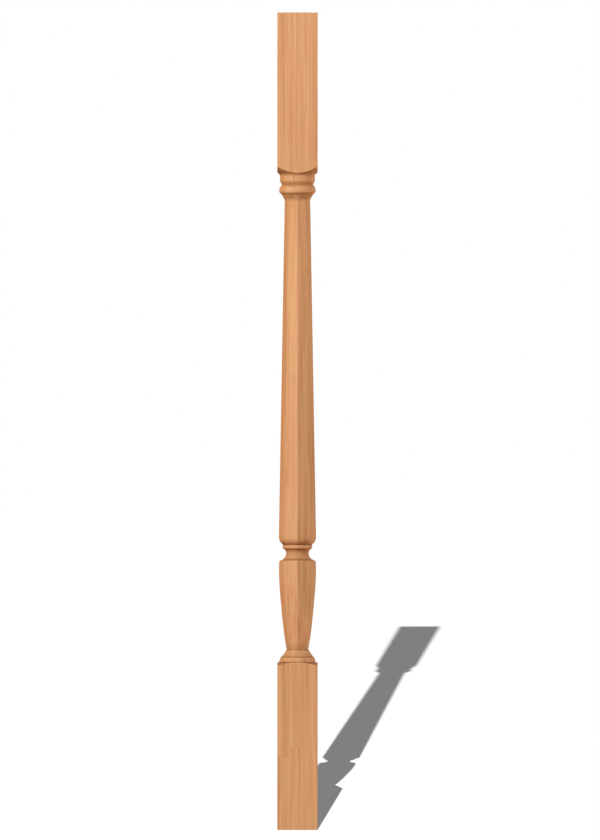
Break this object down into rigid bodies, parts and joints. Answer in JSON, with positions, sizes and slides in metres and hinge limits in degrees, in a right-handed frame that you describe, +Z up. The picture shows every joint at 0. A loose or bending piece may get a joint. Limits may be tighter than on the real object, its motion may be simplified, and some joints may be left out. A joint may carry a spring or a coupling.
{
  "type": "stair baluster",
  "caption": "Wooden stair baluster with square end blocks, turned rings and coves, an octagonal vase and a tapered octagonal shaft; fills the space between tread and handrail.",
  "frame": {"origin": "middle of the bottom block's end face", "axes": "+Z up the baluster to its top block, X and Y square to the faces of the blocks, -Y the face towards the viewer"},
  "size_m": [0.0446, 0.0446, 0.9],
  "materials": {
    "wood": "clear satin finish over reddish-tan, straight-grained wood"
  },
  "bodies": {
    "root": {"baluster": "wood"}
  },
  "joints": []
}
